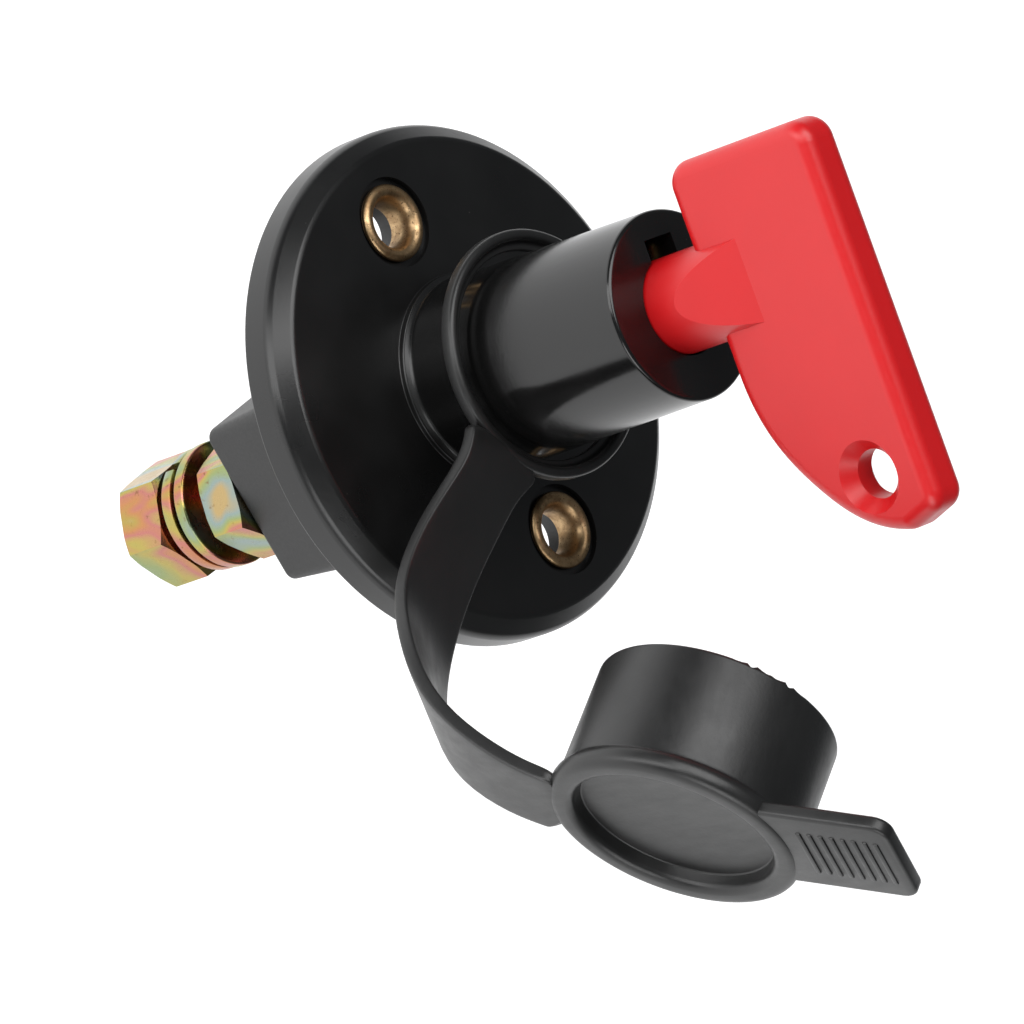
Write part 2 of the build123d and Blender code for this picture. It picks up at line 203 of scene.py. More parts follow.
def add_bump(tree, shader, height, depth, strength=1.0):
    """Raises the surface by a height pattern of this many millimetres."""
    inputs = {"Height": height, "Distance": depth * MM, "Strength": strength}
    bump = add_node(tree, "Bump", inputs)
    tree.links.new(bump.outputs["Normal"], shader.inputs["Normal"])


def combine(tree, first, second, operation="ADD"):
    """One sum of two values."""
    node = add_node(tree, "Math", operation=operation)
    for socket, value in zip(node.inputs, (first, second)):
        if isinstance(value, bpy.types.NodeSocket):
            tree.links.new(value, socket)
        else:
            socket.default_value = value
    return node.outputs[0]


def dust_specks(tree, place, spacing, radius):
    """Tiny scattered specks: 1 on a speck, 0 between them."""
    cells = add_node(
        tree,
        "TexVoronoi",
        {"Vector": place, "Scale": per_mm(spacing), "Randomness": 1.0},
    )
    core = spread(tree, cells.outputs["Distance"], radius / spacing, radius / spacing * 0.4)
    few = spread(tree, noise(tree, place, 9.0, 1.0), 0.52, 0.6)
    return combine(tree, core, few, "MULTIPLY")


# ---------------------------------------------------------------- finishes


def polished_nylon(name, colours):
    """Glass-filled nylon moulded in a polished tool: black, wet-looking on the barrel, satin on
    the flange, with faint rub marks and a few specks of dust."""
    material, tree, shader, place = start_material(name)
    height = add_node(tree, "SeparateXYZ", {"Vector": place}).outputs["Z"]
    on_barrel = spread(tree, height, 8.4 * MM, 10.0 * MM)
    cloud = noise(tree, place, 11.0, 2.0)
    rubbed = add_node(tree, "Mapping", {"Vector": place, "Rotation": (0, 0, 0.6), "Scale": (1, 9, 1)})
    scuffs = spread(tree, noise(tree, rubbed.outputs["Vector"], 7.0, 5.0, 0.7), 0.62, 0.8)
    flange_rough = spread(tree, cloud, 0.3, 0.7, 0.26, 0.34)
    flange_rough = combine(tree, flange_rough, combine(tree, scuffs, 0.16, "MULTIPLY"))
    barrel_rough = spread(tree, cloud, 0.3, 0.7, 0.15, 0.19)
    rough = add_node(tree, "Mix", data_type="FLOAT")
    for number, value in ((0, on_barrel), (2, flange_rough), (3, barrel_rough)):
        tree.links.new(value, rough.inputs[number])
    tree.links.new(rough.outputs[0], shader.inputs["Roughness"])
    black = blend_colours(tree, cloud, colours.nylon, linear("#131313"))
    specks = combine(tree, dust_specks(tree, place, 2.6, 0.09), 0.35, "MULTIPLY")
    tree.links.new(blend_colours(tree, specks, black, linear("#8a8782")), shader.inputs["Base Color"])
    shader.inputs["IOR"].default_value = 1.53
    add_bump(tree, shader, combine(tree, cloud, noise(tree, place, 0.6, 2.0)), 0.012, 0.5)
    return material


def textured_nylon(name, colours):
    """The same nylon moulded in a plain tool: a dull, evenly grained dark grey."""
    material, tree, shader, place = start_material(name)
    cloud = noise(tree, place, 14.0, 3.0)
    grain = noise(tree, place, 0.45, 3.0, 0.65)
    grey = blend_colours(tree, cloud, colours.base, linear("#242424"))
    tree.links.new(grey, shader.inputs["Base Color"])
    tree.links.new(spread(tree, grain, 0.25, 0.75, 0.42, 0.56), shader.inputs["Roughness"])
    shader.inputs["IOR"].default_value = 1.53
    add_bump(tree, shader, combine(tree, grain, cloud), 0.02, 0.6)
    return material


def soft_vinyl(name, colours):
    """Plasticised vinyl moulded soft: near-black with a waxy bloom that blurs every highlight
    along the flow of the moulding."""
    material, tree, shader, place = start_material(name)
    bloom = noise(tree, place, 16.0, 3.0)
    flow = add_node(tree, "Mapping", {"Vector": place, "Scale": (3.0, 1.0, 1.0)}).outputs["Vector"]
    streaks = noise(tree, flow, 5.0, 4.0, 0.6)
    grain = noise(tree, place, 0.5, 2.0, 0.6)
    black = blend_colours(tree, bloom, colours.vinyl, linear("#1f1f1f"))
    tree.links.new(black, shader.inputs["Base Color"])
    rough = spread(tree, streaks, 0.3, 0.7, 0.3, 0.4)
    rough = combine(tree, rough, combine(tree, grain, 0.05, "MULTIPLY"))
    tree.links.new(rough, shader.inputs["Roughness"])
    shader.inputs["IOR"].default_value = 1.53
    add_bump(tree, shader, combine(tree, grain, streaks), 0.02, 0.5)
    return material


def moulded_abs(name, colours):
    """Red ABS moulded in a fine-blasted tool: bright, slightly waxy, with soft highlights and
    light passing a little way in at the edges."""
    material, tree, shader, place = start_material(name)
    cloud = noise(tree, place, 12.0, 3.0)
    grain = noise(tree, place, 0.55, 3.0, 0.6)
    red = blend_colours(tree, cloud, colours.key_red, linear("#c31116"))
    tree.links.new(red, shader.inputs["Base Color"])
    tree.links.new(spread(tree, grain, 0.25, 0.75, 0.3, 0.4), shader.inputs["Roughness"])
    shader.inputs["IOR"].default_value = 1.53
    shader.inputs["Subsurface Weight"].default_value = 0.12
    shader.inputs["Subsurface Radius"].default_value = (0.9, 0.15, 0.1)
    shader.inputs["Subsurface Scale"].default_value = 1.2 * MM
    add_bump(tree, shader, combine(tree, grain, cloud), 0.018, 0.6)
    return material


def rolled_brass(name, colours):
    """Drawn brass tube rolled over by a tool: bright where the tool rubbed, with brown tarnish
    and fine dark pits."""
    material, tree, shader, place = start_material(name)
    tarnish = spread(tree, noise(tree, place, 1.6, 5.0, 0.7), 0.35, 0.68)
    brass = blend_colours(tree, tarnish, colours.brass, linear("#86694a"))
    pits = spread(tree, noise(tree, place, 0.38, 3.0, 0.7), 0.6, 0.7)
    tree.links.new(blend_colours(tree, pits, brass, linear("#2c2015")), shader.inputs["Base Color"])
    rough = combine(tree, spread(tree, tarnish, 0, 1, 0.32, 0.46), combine(tree, pits, 0.3, "MULTIPLY"))
    tree.links.new(rough, shader.inputs["Roughness"])
    shader.inputs["Metallic"].default_value = 1.0
    add_bump(tree, shader, combine(tree, tarnish, pits, "SUBTRACT"), 0.03, 0.5)
    return material


def chromated_zinc(name, colours):
    """Zinc plate with a yellow chromate film: the film's uneven thickness shows as drifting
    patches of straw, rose, green and pale blue."""
    material, tree, shader, place = start_material(name)
    turned = {"Vector": place, "Rotation": (0.5, 0.3, 0.8), "Scale": (1, 1.7, 0.8)}
    tilt = add_node(tree, "Mapping", turned)
    film = noise(tree, tilt.outputs["Vector"], 15.0, 2.5, 0.5, 0.4)
    edge_on = add_node(tree, "LayerWeight", {"Blend": 0.35}).outputs["Facing"]
    film = combine(tree, film, combine(tree, edge_on, 0.12, "MULTIPLY"))
    stops = (
        (0.28, linear("#a6a694")),
        (0.37, tuple(colours.zinc)),
        (0.43, linear("#b98358")),
        (0.48, linear("#b6766e")),
        (0.53, linear("#ae9e58")),
        (0.58, linear("#919d6c")),
        (0.64, linear("#8b9b97")),
        (0.71, linear("#b29a6c")),
    )
    tint = add_ramp(tree, film, stops)
    stains = spread(tree, noise(tree, place, 1.1, 4.0, 0.7), 0.62, 0.74)
    tree.links.new(blend_colours(tree, stains, tint, linear("#7c5c34")), shader.inputs["Base Color"])
    rough = spread(tree, noise(tree, place, 2.5), 0.3, 0.7, 0.2, 0.32)
    tree.links.new(rough, shader.inputs["Roughness"])
    shader.inputs["Metallic"].default_value = 1.0
    add_bump(tree, shader, noise(tree, place, 0.7, 4.0, 0.6), 0.02, 0.6)
    return material


def bare_metal(name, tone, mottle, rough_low, rough_high, grain_size):
    """A plain metal surface: a tone, its mottling and how rough its making left it."""
    material, tree, shader, place = start_material(name)
    patches = noise(tree, place, grain_size, 4.0, 0.6)
    tree.links.new(blend_colours(tree, patches, tone, mottle), shader.inputs["Base Color"])
    tree.links.new(spread(tree, patches, 0.3, 0.7, rough_low, rough_high), shader.inputs["Roughness"])
    shader.inputs["Metallic"].default_value = 1.0
    add_bump(tree, shader, noise(tree, place, grain_size / 3), 0.015, 0.5)
    return material


def moulded_acetal(name, colours):
    """Natural acetal moulded for wear: milky white with a low sheen."""
    material, tree, shader, place = start_material(name)
    cloud = noise(tree, place, 8.0)
    white = blend_colours(tree, cloud, colours.acetal, linear("#d9d5c8"))
    tree.links.new(white, shader.inputs["Base Color"])
    tree.links.new(spread(tree, cloud, 0.3, 0.7, 0.34, 0.46), shader.inputs["Roughness"])
    shader.inputs["IOR"].default_value = 1.48
    add_bump(tree, shader, noise(tree, place, 0.5), 0.01, 0.5)
    return material


def finish(name):
    """A finish by name, made once."""
    if name in bpy.data.materials:
        return bpy.data.materials[name]
    colours = bpy.context.scene.switch_colours
    makers = {
        "polished_nylon": polished_nylon,
        "textured_nylon": textured_nylon,
        "soft_vinyl": soft_vinyl,
        "moulded_abs": moulded_abs,
        "rolled_brass": rolled_brass,
        "chromated_zinc": chromated_zinc,
        "moulded_acetal": moulded_acetal,
    }
    if name in makers:
        return makers[name](name, colours)
    plain = {
        # Copper flash over a rolled thread: pinkish, smooth flanks
        "copper_plate": (tuple(colours.copper), linear("#9a5546"), 0.24, 0.36, 1.4),
        # Rolled copper bar: brighter, brushed by the rolls
        "rolled_copper": (linear("#c87a55"), linear("#a85f40"), 0.22, 0.34, 2.5),
        # Oil-tempered spring wire: dark, drawn smooth
        "drawn_spring_steel": (linear("#8d8f92"), linear("#6b6c6e"), 0.22, 0.34, 1.8),
        # Turned brass pin: yellow-grey, with fine tool marks
        "turned_brass": (linear("#b39a66"), linear("#8e7a4c"), 0.24, 0.36, 1.2),
    }
    return bare_metal(name, *plain[name])


# ---------------------------------------------------------------- mesh helpers


def round_corners(bm, verts, width, steps):
    """Rounds the corners of a wire or a face off to a width."""
    bmesh.ops.bevel(
        bm,
        geom=verts,
        offset=width,
        offset_type="OFFSET",
        affect="VERTICES",
        segments=steps,
        profile=0.5,
        material=-1,
    )


def round_edges(bm, edges, width, steps=2):
    """Rounds these edges off to a width."""
    bmesh.ops.bevel(
        bm,
        geom=edges,
        offset=width,
        offset_type="OFFSET",
        affect="EDGES",
        segments=steps,
        profile=0.5,
        material=-1,
    )


def edges_of(verts):
    """All the edges that meet at these corners."""
    return list({edge for vert in verts for edge in vert.link_edges})


def absorb(bm, other):
    """Adds another mesh's faces to this one and frees the other."""
    piece = bpy.data.meshes.new("piece")
    other.to_mesh(piece)
    other.free()
    bm.from_mesh(piece)
    bpy.data.meshes.remove(piece)


def outline(bm, corners, closed=True):
    """A wire in the XZ plane from (radius, height, rounding) corners, each rounded by a bevel."""
    verts = [bm.verts.new((radius, 0, height)) for radius, height, _ in corners]
    pairs = list(zip(verts, verts[1:]))
    if closed:
        pairs.append((verts[-1], verts[0]))
    for pair in pairs:
        bm.edges.new(pair)
    for vert, (_, _, rounding) in zip(verts, corners):
        if rounding:
            round_corners(bm, [vert], rounding, ROUND_STEPS)


def revolve(bm, steps=SPIN_STEPS):
    """Spins everything in the mesh once about the Z axis and closes it."""
    bmesh.ops.spin(
        bm,
        geom=bm.verts[:] + bm.edges[:],
        cent=(0, 0, 0),
        axis=SWITCH_AXIS,
        angle=tau,
        steps=steps,
        use_merge=True,
    )
    tidy(bm)


def tidy(bm):
    """Merges doubled vertices and points the faces outwards."""
    bmesh.ops.remove_doubles(bm, verts=bm.verts, dist=1e-4)
    bmesh.ops.recalc_face_normals(bm, faces=bm.faces)


def move(bm, matrix, verts=None):
    bmesh.ops.transform(bm, matrix=matrix, space=Matrix(), verts=verts or bm.verts)


def to_object(name, bm):
    """A smooth-shaded object in metres, with its place in its mesh."""
    bmesh.ops.scale(bm, vec=(MM, MM, MM), verts=bm.verts)
    mesh = bpy.data.meshes.new(name)
    bm.to_mesh(mesh)
    bm.free()
    mesh.shade_smooth()
    mesh.set_sharp_from_angle(angle=SMOOTH_ANGLE)
    made = bpy.data.objects.new(name, mesh)
    bpy.context.scene.collection.objects.link(made)
    return made


def dress(made, material, body, nodes=()):
    """Gives a piece its finish, the body it rides on, and the CAD nodes it stands for."""
    made.data.materials.clear()
    made.data.materials.append(finish(material))
    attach(made, body)
    if nodes:
        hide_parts(*nodes)
    return made


def settle(made):
    """Turns a piece's modifiers into its mesh."""
    view = bpy.context.evaluated_depsgraph_get()
    view.update()
    final = bpy.data.meshes.new_from_object(made.evaluated_get(view))
    made.modifiers.clear()
    old, made.data = made.data, final
    bpy.data.meshes.remove(old)
    return made


def cut(made, tools):
    """Takes each tool's shape out of a piece."""
    for tool in tools:
        modifier = made.modifiers.new(tool.name, "BOOLEAN")
        modifier.operation = "DIFFERENCE"
        modifier.solver = "EXACT"
        modifier.object = tool
    settle(made)
    for tool in tools:
        bpy.data.objects.remove(tool)


def soften(made, width, segments=2):
    """Rounds a piece's sharp edges and evens its shading."""
    bevel = made.modifiers.new("edges", "BEVEL")
    bevel.width = width * MM
    bevel.segments = segments
    bevel.limit_method = "ANGLE"
    bevel.angle_limit = radians(40)
    bevel.use_clamp_overlap = True
    weighted = made.modifiers.new("shading", "WEIGHTED_NORMAL")
    weighted.keep_sharp = True


def rod(name, radius, foot, top, spot=(0, 0, 0), segments=64):
    """A closed cylinder between two heights."""
    bm = bmesh.new()
    bmesh.ops.create_cone(
        bm,
        cap_ends=True,
        segments=segments,
        radius1=radius,
        radius2=radius,
        depth=top - foot,
        matrix=Matrix.Translation(Vector(spot) + Vector((0, 0, (foot + top) / 2))),
    )
    return to_object(name, bm)


def block(bm, size, place):
    """A box of this size at a place."""
    return bmesh.ops.create_cube(bm, size=1.0, matrix=place @ Matrix.Diagonal((*size, 1.0)))["verts"]


# ---------------------------------------------------------------- settings


def length(name, description, default):
    return FloatProperty(
        name=name,
        description=description,
        default=default * MM,
        min=0.0,
        unit="LENGTH",
        precision=5,
    )


def colour(name, description, code):
    return FloatVectorProperty(
        name=name,
        description=description,
        default=linear(code),
        size=3,
        min=0.0,
        max=1.0,
        subtype="COLOR",
    )


class SwitchSizes(bpy.types.PropertyGroup):
    """Sizes that a user would change."""

    flange_radius: length("Flange radius", "Outside radius of the round flange", 37.5)
    flange_rim: length("Flange rim", "Height of the flange's straight side", 4.8)
    flange_face: length("Flange face", "Height of the flange's flat face", 7.3)
    barrel_height: length("Barrel height", "Height of the barrel's end face", 48.8)
    barrel_round: length("Barrel edge", "Rounding of the barrel's end", 0.7)
    eyelet_bore: length("Eyelet bore", "Radius of the fixing holes", 3.3)
    thread_pitch: length("Thread pitch", "Distance between the studs' thread crests", 1.5)
    strap_width: length("Strap width", "Width of the dust cap's strap", 13.0)
    strap_thickness: length("Strap thickness", "Thickness of the dust cap's strap", 2.2)
    cap_height: length("Cap height", "Height of the dust cap", 19.8)
    tab_ribs: IntProperty(
        name="Tab ribs", description="Grip ribs on the pull tab", default=8, min=0, max=12
    )


class SwitchColours(bpy.types.PropertyGroup):
    """Colours that a user would change."""

    nylon: colour("Nylon", "Polished black nylon of the flange and barrel", "#0c0c0c")
    base: colour("Base", "Dull nylon of the rear base", "#1a1a1a")
    vinyl: colour("Vinyl", "Soft vinyl of the dust cap", "#161616")
    key_red: colour("Key red", "Red plastic of the key", "#cc151a")
    brass: colour("Brass", "Rolled brass of the eyelets", "#c2a47c")
    zinc: colour("Zinc", "Straw tone of the yellow zinc plating", "#ab9452")
    copper: colour("Copper", "Copper plate of the studs", "#d0806f")
    acetal: colour("Acetal", "Natural acetal of the carrier", "#ebe7da")
    floor: colour("Floor", "Pale studio floor", "#f4f4f4")


class SwitchStage(bpy.types.PropertyGroup):
    """Where the camera stands and how far below the floor lies."""

    azimuth: FloatProperty(
        name="Azimuth",
        description="Direction of the camera about the switch axis, from -Y",
        default=radians(-51.7),
        unit="ROTATION",
    )
    elevation: FloatProperty(
        name="Elevation",
        description="Height of the camera above the panel",
        default=radians(44.48),
        unit="ROTATION",
    )
    roll: FloatProperty(
        name="Roll",
        description="Turn of the camera about its view",
        default=radians(71.3),
        unit="ROTATION",
    )
    distance: length("Distance", "Distance from the camera to its target", 1274.4)
    target: FloatVectorProperty(
        name="Target",
        description="Point in the middle of the view",
        default=(14.1 * MM, -13.9 * MM, 2.5 * MM),
        subtype="TRANSLATION",
        unit="LENGTH",
    )
    lens: FloatProperty(
        name="Lens", description="Focal length in millimetres", default=316.4, subtype="DISTANCE_CAMERA"
    )
    drop: length("Floor drop", "Distance from the mounting face down to the floor", 120.0)


# ---------------------------------------------------------------- operators


class SWITCH_OT_front_housing(bpy.types.Operator):
    """Flange and barrel, with the keyhole and the sunk fixing holes"""

    bl_idname = "switch.front_housing"
    bl_label = "Front housing"

    def execute(self, context):
        size = context.scene.switch_sizes
        flange = size.flange_radius / MM
        rim = size.flange_rim / MM
        face = size.flange_face / MM
        top = size.barrel_height / MM
        bm = bmesh.new()
        outline(
            bm,
            (
                (0, PLATE_TOP, 0),
                (flange - 1.8, PLATE_TOP, 0),
                (flange - 1.8, 0, 0.2),
                (flange, 0, 0.4),
                (flange, rim, 0.9),
                (flange - 2.7, face, 0.5),
                (BOSS_R, face, 0.15),
                (BOSS_R, face + 0.9, 0.25),
                (BOSS_R - 0.25, face + 0.9, 0),
                (14.2, face + 1.5, 0.4),
                (13.7, top, size.barrel_round / MM),
                (0, top, 0),
            ),
            closed=False,
        )
        revolve(bm)
        made = to_object("housing_moulding", bm)
        tools = [
            rod("bore", BORE_R, PLATE_TOP - 1.0, top - END_WALL),
            rod("keyhole", KEYHOLE_R, top - END_WALL - 1.0, top + 1.0),
        ]
        notch = bmesh.new()
        turn = Matrix.Rotation(radians(KEY_ANGLE), 4, "Z")
        place = turn @ Matrix.Translation((NOTCH_REACH / 2, 0, top - END_WALL / 2))
        block(notch, (NOTCH_REACH, NOTCH_W, END_WALL + 2.0), place)
        tools.append(to_object("notch", notch))
        for number, spot in enumerate(EYELET_SPOTS):
            tools.append(rod(f"sink_{number}", SINK_R, face - SINK_D, face + 2.0, spot, 96))
            tools.append(rod(f"hole_{number}", TUBE_HOLE_R, -1.0, face, spot))
        cut(made, tools)
        soften(made, 0.2)
        dress(made, "polished_nylon", "housing", ["front_housing"])
        return {"FINISHED"}


class SWITCH_OT_fixing_eyelets(bpy.types.Operator):
    """Two brass eyelets with rolled rims that line the fixing holes"""

    bl_idname = "switch.fixing_eyelets"
    bl_label = "Fixing eyelets"

    def execute(self, context):
        bore = context.scene.switch_sizes.eyelet_bore / MM
        bm = bmesh.new()
        for spot in EYELET_SPOTS:
            ring = bmesh.new()
            outline(
                ring,
                (
                    (bore, 2.9, 0.15),
                    (bore + 0.8, 2.9, 0.15),
                    (bore + 0.8, 6.35, 0.1),
                    (bore + 2.2, 6.35, 0.25),
                    (bore + 2.4, 6.9, 0.3),
                    (bore + 2.0, 7.55, 0.5),
                    (bore + 1.1, 7.6, 0.5),
                    (bore + 0.35, 6.9, 0.6),
                    (bore, 5.6, 0.6),
                ),
            )
            revolve(ring, 96)
            move(ring, Matrix.Translation(spot))
            absorb(bm, ring)
        made = to_object("rolled_eyelets", bm)
        dress(made, "rolled_brass", "housing", ["fixing_eyelets"])
        return {"FINISHED"}


class SWITCH_OT_studs(bpy.types.Operator):
    """Two threaded studs with flat heads"""

    bl_idname = "switch.studs"
    bl_label = "Terminal studs"

    def execute(self, context):
        pitch = context.scene.switch_sizes.thread_pitch / MM
        steps = 40
        crest, root, tip, top, chamfer = 4.9, 4.1, -46.0, -15.1, 1.0
        turns = int((top - tip) / pitch) + 3
        for side, spot in STUD_SPOTS.items():
            bm = bmesh.new()
            # One turn of thread: a flat root, a slope up, a flat crest and a slope down
            ridge = ((root, 0.0), (root, 0.08), (crest, 0.44), (crest, 0.56), (root, 0.92), (root, 1.0))
            verts = [bm.verts.new((radius, 0, share * pitch)) for radius, share in ridge]
            for pair in zip(verts, verts[1:]):
                bm.edges.new(pair)
            bmesh.ops.spin(
                bm,
                geom=bm.verts[:] + bm.edges[:],
                cent=(0, 0, 0),
                axis=SWITCH_AXIS,
                angle=tau * turns,
                steps=steps * turns,
                dvec=(0, 0, pitch / steps),
            )
            bmesh.ops.translate(bm, vec=(0, 0, tip - 1.4 * pitch), verts=bm.verts)
            bmesh.ops.remove_doubles(bm, verts=bm.verts, dist=1e-3)
            for height, direction in ((top, 1), (tip, -1)):
                bmesh.ops.bisect_plane(
                    bm,
                    geom=bm.verts[:] + bm.edges[:] + bm.faces[:],
                    plane_co=(0, 0, height),
                    plane_no=(0, 0, direction),
                    clear_outer=True,
                )
                rim = [edge for edge in bm.edges if edge.is_boundary]
                ends = [e for e in rim if all(abs(v.co.z - height) < 1e-3 for v in e.verts)]
                bmesh.ops.holes_fill(bm, edges=ends, sides=0)
            for vert in bm.verts:
                reach = hypot(vert.co.x, vert.co.y)
                limit = crest - chamfer + (vert.co.z - tip)
                if reach > limit:
                    vert.co.x *= limit / reach
                    vert.co.y *= limit / reach
            head = block(bm, (9.4, 15.0, 2.95), Matrix.Translation((0, 0, -13.52)))
            round_edges(bm, edges_of(head), 0.4)
            bmesh.ops.recalc_face_normals(bm, faces=bm.faces)
            turn = Matrix.Rotation(radians(STUD_ANGLE), 4, "Z")
            move(bm, Matrix.Translation(spot) @ turn)
            made = to_object(f"{side}_threaded_stud", bm)
            dress(made, "copper_plate", "housing", [f"{side}_stud"])
        return {"FINISHED"}


class SWITCH_OT_spring_washers(bpy.types.Operator):
    """Two split spring washers, each end lifted from the other"""

    bl_idname = "switch.spring_washers"
    bl_label = "Spring washers"

    def execute(self, context):
        steps, inner, outer, low, high, lift = 90, 5.2, 9.0, -33.6, -31.5, 0.55
        sweep, start = radians(352), radians(168)
        for side, spot in STUD_SPOTS.items():
            bm = bmesh.new()
            section = (
                (inner, low),
                (outer, low + 0.1),
                (outer, high - 0.1),
                (inner, high),
            )
            verts = [bm.verts.new((radius, 0, height)) for radius, height in section]
            bm.faces.new(verts)
            round_corners(bm, verts, 0.25, 2)
            bmesh.ops.spin(
                bm,
                geom=bm.verts[:] + bm.edges[:] + bm.faces[:],
                cent=(0, 0, 0),
                axis=SWITCH_AXIS,
                angle=sweep,
                steps=steps,
                dvec=(0, 0, lift / steps),
            )
            tidy(bm)
            move(bm, Matrix.Translation(spot) @ Matrix.Rotation(start, 4, "Z"))
            made = to_object(f"{side}_split_washer", bm)
            dress(made, "chromated_zinc", "housing", [f"{side}_spring_washer"])
        return {"FINISHED"}


class SWITCH_OT_collar(bpy.types.Operator):
    """Flat collar with a raised bead, loose around the barrel"""

    bl_idname = "switch.collar"
    bl_label = "Cap collar"

    def execute(self, context):
        inner, outer, foot = 15.1, 18.0, 19.0
        bm = bmesh.new()
        outline(
            bm,
            (
                (inner, foot, 0.3),
                (outer, foot, 0.5),
                (outer, foot + 2.3, 0.7),
                (outer - 1.5, foot + 2.3, 0.6),
                (outer - 1.8, foot + 0.9, 0.5),
                (inner, foot + 0.9, 0.3),
            ),
        )
        revolve(bm)
        made = to_object("beaded_collar", bm)
        dress(made, "soft_vinyl", "collar", ["cap_collar"])
        return {"FINISHED"}


class SWITCH_OT_strap(bpy.types.Operator):
    """Flat strap from the collar out over the flange and up to the cap, twisting as it goes"""

    bl_idname = "switch.strap"
    bl_label = "Cap strap"

    def execute(self, context):
        size = context.scene.switch_sizes
        half_width = size.strap_width / MM / 2
        thickness = size.strap_thickness / MM
        # The strap's middle, the direction across it and its share of the full width
        route = (
            ((-3.7, -16.4, 20.3), (0.98, -0.16, -0.04), 1.12),
            ((-4.0, -18.4, 20.1), (0.97, -0.08, -0.14), 1.08),
            ((-4.5, -21.0, 19.4), (0.97, 0.0, -0.23), 1.0),
            ((-5.0, -24.5, 18.4), (0.97, 0.0, -0.23), 1.0),
            ((-6.8, -33.0, 16.0), (0.99, -0.08, -0.12), 1.0),
            ((-8.3, -41.5, 15.7), (0.98, -0.13, -0.12), 1.0),
            ((-9.4, -48.4, 17.4), (0.95, -0.17, -0.26), 1.0),
            ((-10.3, -54.6, 20.1), (0.9, -0.21, -0.39), 1.0),
            ((-10.3, -61.0, 23.2), (0.85, -0.22, -0.48), 1.0),
            ((-9.1, -67.8, 28.8), (0.8, -0.22, -0.55), 1.0),
            ((-5.7, -73.0, 36.3), (0.8, -0.16, -0.58), 1.0),
            ((-3.0, -75.0, 40.8), (0.81, -0.1, -0.58), 1.0),
            ((-0.8, -76.3, 44.6), (0.82, -0.04, -0.58), 1.08),
        )
        points = [Vector(point) for point, _, _ in route]
        bm = bmesh.new()
        frames = []
        for at, point in enumerate(points):
            ahead = points[min(at + 1, len(points) - 1)] - points[max(at - 1, 0)]
            ahead.normalize()
            up = ahead.cross(Vector(route[at][1])).normalized()
            across = ahead.cross(up) * -1
            turn = Matrix((across, up, ahead)).transposed().to_4x4()
            frames.append(Matrix.Translation(point) @ turn @ Matrix.Diagonal((route[at][2], 1, 1, 1)))
        corners = ((-1, -1), (1, -1), (1, 1), (-1, 1))
        verts = [bm.verts.new((x * half_width, y * thickness / 2, 0)) for x, y in corners]
        face = bm.faces.new(verts)
        move(bm, frames[0])
        for last, following in zip(frames, frames[1:]):
            grown = bmesh.ops.extrude_face_region(bm, geom=[face])["geom"]
            tip = [item for item in grown if isinstance(item, bmesh.types.BMVert)]
            if face.is_valid and last is not frames[0]:
                bm.faces.remove(face)
            face = next(item for item in grown if isinstance(item, bmesh.types.BMFace))
            move(bm, following @ last.inverted(), tip)
        folds = [edge for edge in bm.edges if edge.calc_face_angle(0) > 1.0]
        along = [edge for edge in folds if abs(edge.verts[0].co.y - edge.verts[1].co.y) > 1.0]
        rims = [edge for edge in along if edge.calc_length() > thickness * 1.01]
        round_edges(bm, rims, 0.45)
        tidy(bm)
        made = to_object("moulded_strap", bm)
        smooth = made.modifiers.new("smooth", "SUBSURF")
        smooth.levels = smooth.render_levels = 2
        settle(made)
        made.data.materials.append(finish("soft_vinyl"))
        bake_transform(made)
        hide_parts("strap_root_half", "strap_cap_half")
        return {"FINISHED"}


class SWITCH_OT_dust_cap(bpy.types.Operator):
    """Dust cap: a cup with a rolled rim, a sunk end and a ribbed pull tab"""

    bl_idname = "switch.dust_cap"
    bl_label = "Dust cap"

    def execute(self, context):
        size = context.scene.switch_sizes
        height = size.cap_height / MM
        wall, rim, bore, recess, sunk, inside = 17.0, 17.9, 14.6, 13.8, 2.6, 4.9
        bm = bmesh.new()
        outline(
            bm,
            (
                (0, sunk, 0),
                (recess, sunk, 0.25),
                (recess + 0.3, 0.9, 0.3),
                (bore, 0.0, 0.7),
                (rim - 0.1, 0.0, 1.4),
                (rim, 2.7, 0.9),
                (wall + 0.1, 3.3, 0.5),
                (wall, height, 0.6),
                (bore, height, 0.4),
                (bore, inside, 0.6),
                (0, inside, 0),
            ),
            closed=False,
        )
        revolve(bm)
        # Torn flash on the mouth's edge
        torn, span = Vector((cos(radians(225)), sin(radians(225)))), 0.35
        for vert in bm.verts:
            around_mouth = Vector((vert.co.x, vert.co.y))
            if vert.co.z > height - 0.3 and around_mouth.length > 1.0:
                angle = around_mouth.angle(torn)
                if angle < span:
                    vert.co.z += 0.3 * (sin(angle * 61) + sin(angle * 97)) * (1 - angle / span)
        tab = bmesh.new()
        root, reach, width, thick, middle = 15.0, 34.0, 17.4, 2.2, 1.5
        block(tab, (width, reach - root, thick), Matrix.Translation((0, -(root + reach) / 2, middle)))
        ends = [edge for edge in tab.edges if all(v.co.y < -reach + 0.1 for v in edge.verts)]
        far = [edge for edge in ends if abs(edge.verts[0].co.x - edge.verts[1].co.x) < 0.1]
        round_edges(tab, far, 2.5, 5)
        round_edges(tab, [edge for edge in tab.edges if edge.calc_face_angle(0) > 1.0], 0.55, 3)
        rib_size, rib_pitch, first_rib = (10.1, 0.8, 0.5), 1.62, 20.1
        for number in range(size.tab_ribs):
            spot = (0.2, -first_rib - rib_pitch * number, middle - thick / 2)
            round_edges(tab, edges_of(block(tab, rib_size, Matrix.Translation(spot))), 0.25)
        tidy(tab)
        absorb(bm, tab)
        move(bm, CAP_PLACE)
        made = to_object("cap_moulding", bm)
        dress(made, "soft_vinyl", "cap", ["dust_cap"])
        return {"FINISHED"}


